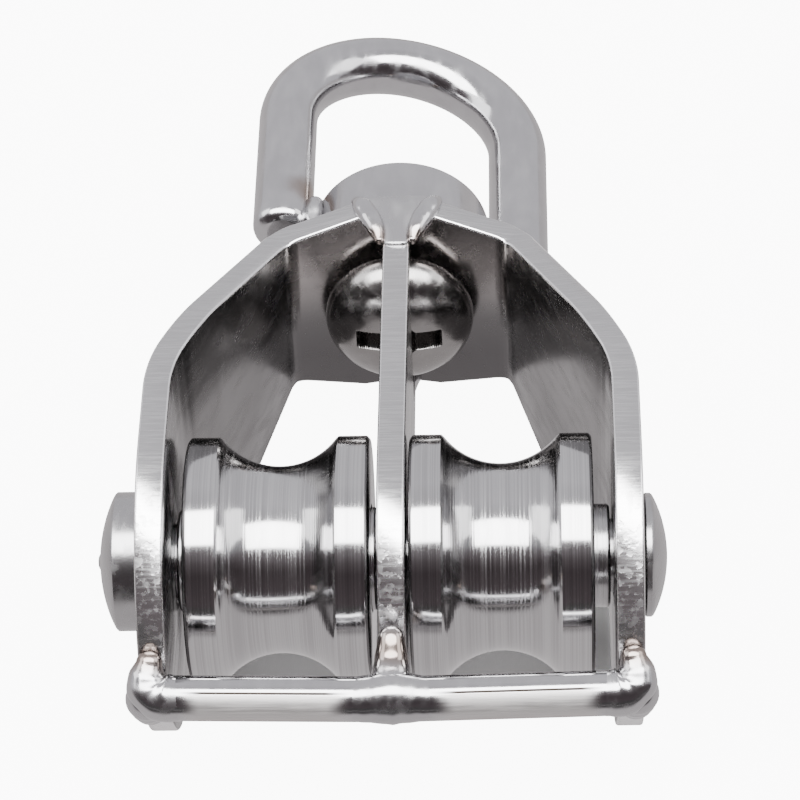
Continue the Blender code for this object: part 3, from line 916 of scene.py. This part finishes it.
@dataclass
class FrameWelds:
    """Beads on the frame: tubes of changing radius along short soft curves."""

    squareness: float = 4.5

    def bead(self, name: str, knots: list, slot_nodes: tuple, material: bpy.types.Material,
             ripples: float = 0.0) -> None:
        """One bead.

        Args:
            name: the piece's name.
            knots: rows of X, Y, Z and radius, in millimetres.
            slot_nodes: CAD nodes that it stands for.
            material: its material.
            ripples: size of the ripples along it.
        """
        samples = smooth_path(np.array(knots, float) * MM, 48)
        wave = 1.0 + ripples * np.sin(np.linspace(0.0, 26.0, len(samples)))
        grid = tube(samples[:, :3], np.maximum(samples[:, 3], 0.3 * MM) * wave, columns=40)
        piece = mesh_piece(name, grid, sharp=60.0)
        place_piece(piece, Body.FRAME, Slot.WELD, material, *slot_nodes)

    def ground_pad(self, name: str, knots: list, slot_nodes: tuple, material: bpy.types.Material) -> None:
        """Weld metal ground flat at the front.

        Each section is a rounded oblong: x and z follow cos and sin to the power 2 / squareness.

        Args:
            name: the piece's name.
            knots: rows of Y, Z of the middle, half width and half depth, in millimetres.
            slot_nodes: CAD nodes that it stands for.
            material: its material.
        """
        samples = smooth_path(np.array(knots, float) * MM, 48)
        angle = np.linspace(0.0, 2.0 * math.pi, 64, endpoint=False)
        power = 2.0 / self.squareness
        wide = np.sign(np.cos(angle)) * np.abs(np.cos(angle)) ** power
        deep = np.sign(np.sin(angle)) * np.abs(np.sin(angle)) ** power
        y = np.repeat(samples[:, :1], len(angle), axis=1)
        x = samples[:, 2:3] * wide
        z = samples[:, 1:2] + samples[:, 3:4] * deep
        grid = np.stack([x, y, z], -1)
        ends = [np.repeat(row.mean(axis=0)[None, None], len(angle), axis=1) for row in (grid[0], grid[-1])]
        piece = mesh_piece(name, np.concatenate([ends[0], grid, ends[1]]), sharp=60.0)
        place_piece(piece, Body.FRAME, Slot.WELD, material, *slot_nodes)

    def build(self) -> None:
        """Make every bead on the frame."""
        stains = ((24.0, -16.9, 4.2, 2.6), (0.0, -16.6, 3.6, 2.6), (1.9, 36.2, 12.0, 1.6))
        metal = PolishedSteel("weld_metal", roughness=0.16, lumps=0.9, stains=stains).material()
        ground = PolishedSteel("ground_weld", bright=(0.50, 0.495, 0.50, 1.0), roughness=0.27).material()
        for side, name in ((-1.0, "left"), (1.0, "right")):
            x = side
            self.bead("bar_weld_%s_elbow" % name, [
                (x * 21.2, -19.85, 0.9, 2.26), (x * 22.6, -19.75, 1.0, 2.42), (x * 23.7, -19.2, 1.6, 2.3),
                (x * 23.9, -18.4, 2.6, 1.9), (x * 23.7, -17.6, 3.6, 1.3)],
                ("bar_weld_" + name,), metal, 0.012)
            self.bead("bar_weld_%s_back" % name, [
                (x * 24.0, -19.3, 0.3, 2.2), (x * 23.9, -18.5, -1.8, 1.8), (x * 23.7, -17.6, -3.4, 1.2)],
                (), metal, 0.012)
        self.bead("bar_weld_centre_neck", [
            (0.0, -20.4, 1.3, 2.4), (0.0, -19.0, 1.9, 2.15), (0.0, -17.2, 2.8, 1.75),
            (0.0, -15.2, 4.0, 1.35)],
            ("bar_weld_centre",), metal, 0.012)
        self.bead("bar_weld_centre_saddle", [
            (-3.4, -20.3, 0.93, 2.22), (-1.7, -20.3, 1.05, 2.45), (0.0, -20.3, 1.2, 2.72),
            (1.7, -20.3, 1.05, 2.45),
            (3.4, -20.3, 0.93, 2.22)], (), metal, 0.008)
        self.ground_pad("top_weld_front_pad", [
            (34.8, 11.1, 0.9, 1.0), (35.2, 11.1, 1.3, 1.2), (36.8, 11.1, 1.45, 1.25), (38.6, 11.1, 1.9, 1.25),
            (40.4, 11.1, 2.8, 1.25), (41.8, 11.1, 3.7, 1.25), (42.75, 11.1, 4.0, 1.0)],
            ("top_weld_front",), ground)
        self.ground_pad("top_weld_rear_pad", [
            (36.2, -11.0, 1.0, 0.9), (37.4, -11.0, 1.4, 1.1), (39.4, -11.0, 2.0, 1.2),
            (41.4, -11.0, 3.4, 1.2), (42.7, -11.0, 3.8, 1.0)],
            ("top_weld_rear",), ground)
        for side, name in ((-1.0, "left"), (1.0, "right")):
            self.bead("top_weld_run_" + name, [
                (side * 4.3, 41.9, 12.0, 0.6), (side * 3.7, 40.8, 12.3, 1.05), (side * 2.9, 39.1, 12.3, 1.15),
                (side * 2.15, 37.3, 12.1, 0.95), (side * 1.75, 35.9, 11.8, 0.5)],
                (), metal, 0.02)


# ---------------------------------------------------------------- table, light and camera


@dataclass(frozen=True)
class Lamp:
    """A soft rectangular light, by its place from the axle in metres."""

    name: str
    place: tuple
    width: float
    depth: float
    power: float


@dataclass
class Studio:
    """A pale table, an overhead softbox, a dim room in front and pale walls behind."""

    tilt: float = 47.0
    yaw: float = 2.68
    roll: float = 1.13
    distance: float = 0.400
    lens: float = 177.1
    aside: float = -0.00053
    below: float = -0.01606
    table_paint: tuple = (0.93, 0.93, 0.93, 1.0)
    table_half: float = 3.0
    shade_width: float = 23.5
    shade_front: float = -2.0
    shade_back: float = 15.0
    shade_soft: float = 1.2
    glow: float = 13.0
    glow_share: float = 0.75
    mirrored_reach: float = 150.0
    mirrored: tuple = ((0.0, 0.10), (0.34, 0.08), (0.37, 0.5), (0.41, 0.5), (0.44, 0.10), (0.62, 0.12),
                       (0.72, 0.85), (1.0, 0.85))
    walls: tuple = ((0.0, 0.12), (0.05, 0.11), (0.17, 0.08), (0.23, 0.13), (0.30, 0.25), (0.36, 0.55),
                    (0.55, 0.85), (0.66, 1.05), (1.0, 1.0))
    lamps: tuple = (Lamp("softbox", (0.0, -0.187, 0.75), 1.40, 0.46, 31.0),
                    Lamp("left_fill", (-0.8, 0.1, 0.5), 0.5, 0.5, 2.5),
                    Lamp("right_fill", (0.8, 0.1, 0.5), 0.5, 0.5, 2.5))

    def floor(self) -> None:
        """A wide plain floor under the block that glows white for the camera, except in a soft-edged
        rectangle under the block that is left dimmer as a painted shadow.

        Mirrored in the steel it is pale near the block, and dark in front past a pale line.
        """
        half = self.table_half
        corners = [(-half, -half, 0), (half, -half, 0), (half, half, 0), (-half, half, 0)]
        mesh = bpy.data.meshes.new("table_top")
        mesh.from_pydata(corners, [], [(0, 1, 2, 3)])
        top = bpy.data.objects.new("table_top", mesh)
        bpy.context.scene.collection.objects.link(top)
        tree = ShaderTree("table_paint")
        x, y, _ = tree.place()
        paint = tree.node("ShaderNodeBsdfPrincipled", {}, {
            "Base Color": self.table_paint, "Roughness": 0.9, "Specular IOR Level": 0.1})
        glow = tree.node("ShaderNodeEmission", {}, {"Strength": self.glow})
        # No glow in a soft-edged rectangle under the block: the floor keeps its dimmer lit colour there, a
        # painted shadow.
        beside = abs(x) - self.shade_width
        middle = (self.shade_front + self.shade_back) / 2.0
        along = abs(y - middle) - (self.shade_back - middle)
        clear = beside.at_least(along).above(0.0, self.shade_soft)
        seen = tree.mix(clear * self.glow_share * tree.rays("Is Camera Ray"), paint, glow)
        stops = [(place, (shade, shade * 0.95, shade * 0.96, 1.0)) for place, shade in self.mirrored]
        colour = tree.ramp(y / self.mirrored_reach + 1.0, stops)
        mirrored = tree.node("ShaderNodeEmission", {}, {"Color": colour})
        both = tree.mix(tree.rays("Is Glossy Ray"), seen, mirrored)
        tree.feed(tree.output.inputs["Surface"], both.outputs[0])
        mesh.materials.append(tree.material)

    def light(self, lamp: Lamp) -> None:
        """A soft light that looks at the block.

        Args:
            lamp: its place, size and power.
        """
        data = bpy.data.lights.new(lamp.name, "AREA")
        data.shape = "RECTANGLE"
        data.size = lamp.width
        data.size_y = lamp.depth
        data.energy = lamp.power
        place = Vector(lamp.place)
        item = bpy.data.objects.new(lamp.name, data)
        item.location = AXLE + place
        item.rotation_euler = (-place).to_track_quat("-Z", "Y").to_euler()
        bpy.context.scene.collection.objects.link(item)

    def room(self) -> None:
        """The room round the table, by the angle up from the front horizon over the top to the back."""
        world = bpy.data.worlds.new("room")
        bpy.context.scene.world = world
        world.use_nodes = True
        tree = NodeMaker(world.node_tree)
        parts = tree.node("ShaderNodeSeparateXYZ", {}, {0: tree.coordinates.outputs["Generated"]})
        back = Signal(tree, parts.outputs[1])
        turn = tree.math("ARCTAN2", parts.outputs[2], back * -1.0) / math.pi
        stops = []
        for place, shade in self.walls:
            dim = max(0.0, 1.0 - shade / 0.5)
            stops.append((place, (shade, shade * (0.985 - 0.20 * dim), shade * (1.03 - 0.18 * dim), 1.0)))
        walls = tree.node("ShaderNodeBackground", {}, {0: tree.ramp(turn, stops)})
        plain = tree.node("ShaderNodeBackground", {}, {0: (1.0, 1.0, 1.0, 1.0)})
        direct = tree.rays("Is Camera Ray").at_least(tree.rays("Is Diffuse Ray"))
        output = tree.tree.nodes.new("ShaderNodeOutputWorld")
        tree.feed(output.inputs[0], tree.mix(direct, walls, plain).outputs[0])

    def camera(self) -> None:
        """The camera: tilted back from the block's face, turned a little and rolled a little."""
        tilt, yaw, roll = (math.radians(value) for value in (self.tilt, self.yaw, self.roll))
        back = Vector((math.sin(yaw) * math.cos(tilt), -math.sin(tilt), math.cos(yaw) * math.cos(tilt)))
        right = Vector((math.cos(yaw), 0.0, -math.sin(yaw)))
        up = back.cross(right)
        turned_right = right * math.cos(roll) + up * math.sin(roll)
        turned_up = up * math.cos(roll) - right * math.sin(roll)
        data = bpy.data.cameras.new("camera")
        data.lens = self.lens
        data.clip_start = 0.01
        data.clip_end = 20.0
        camera = bpy.data.objects.new("camera", data)
        turn = Matrix((turned_right, turned_up, back)).transposed().to_4x4()
        spot = AXLE - turned_right * self.aside - turned_up * self.below + back * self.distance
        camera.matrix_world = Matrix.Translation(spot) @ turn
        bpy.context.scene.collection.objects.link(camera)
        bpy.context.scene.camera = camera

    def build(self) -> None:
        """Set the table, the lights, the room and the camera."""
        self.floor()
        self.room()
        for lamp in self.lamps:
            self.light(lamp)
        self.camera()


# ---------------------------------------------------------------- the whole scene


def main() -> None:
    """Build and dress every sub-assembly, then the studio."""
    logging.basicConfig(level=logging.INFO, format="%(name)s: %(message)s")
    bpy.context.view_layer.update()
    for assembly in (Frame(), Axle(), Sheaves(), Swivel(), FrameWelds(), Studio()):
        assembly.build()
    bpy.context.view_layer.update()


if __name__ == "__main__":
    main()
